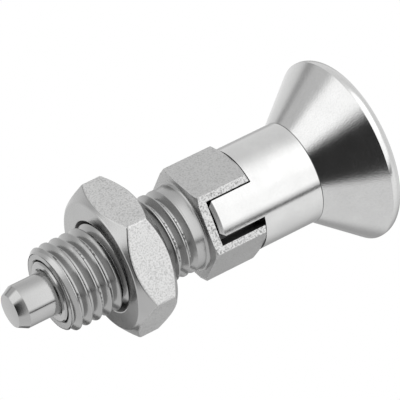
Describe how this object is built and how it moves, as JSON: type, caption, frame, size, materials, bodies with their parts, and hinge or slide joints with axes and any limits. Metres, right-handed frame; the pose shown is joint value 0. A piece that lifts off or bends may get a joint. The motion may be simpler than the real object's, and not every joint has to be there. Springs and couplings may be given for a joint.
{
  "type": "indexing plunger",
  "caption": "Spring-loaded indexing plunger with a pull-and-turn knob, slotted hexagon body, fine thread and lock nut, all stainless steel.",
  "frame": {"origin": "centre of the threaded body's front face, where the locking pin comes out", "axes": "+Z along the plunger's axis from the pin to the knob, the way the knob is pulled; +X out of the slotted flat with the tongue that the picture shows"},
  "size_m": [0.0258, 0.0258, 0.054],
  "materials": {
    "body_steel": "stainless steel, satin flats and bright turned thread",
    "bush_steel": "stainless steel, turned",
    "pin_steel": "stainless steel, ground",
    "spring_steel": "stainless spring wire",
    "sleeve_steel": "stainless steel, fine turned and bright",
    "knob_steel": "stainless steel, fine turned and polished",
    "nut_steel": "stainless steel, satin"
  },
  "bodies": {
    "housing": {"threaded_body": "body_steel", "guide_bush": "bush_steel"},
    "spring": {"compression_spring": "spring_steel"},
    "plunger": {"locking_pin": "pin_steel", "lock_sleeve": "sleeve_steel", "pull_knob": "knob_steel"},
    "nut": {"lock_nut": "nut_steel"}
  },
  "joints": [
    {"name": "knob_turn", "type": "hinge", "parent": "housing", "child": "spring", "pos_m": [0, 0, 0.029], "axis": [0, 0, 1], "range_deg": [-1, 7]},
    {"name": "knob_pull", "type": "slide", "parent": "spring", "child": "plunger", "axis": [0, 0, 1], "range_m": [0, 0.0075], "stiffness_N_per_m": 1100, "springref_m": -0.008, "deforming": ["compression_spring"]},
    {"name": "nut_turn", "type": "hinge", "parent": "housing", "child": "nut", "pos_m": [0, 0, 0.0108], "axis": [0, 0, 1], "continuous": true}
  ]
}
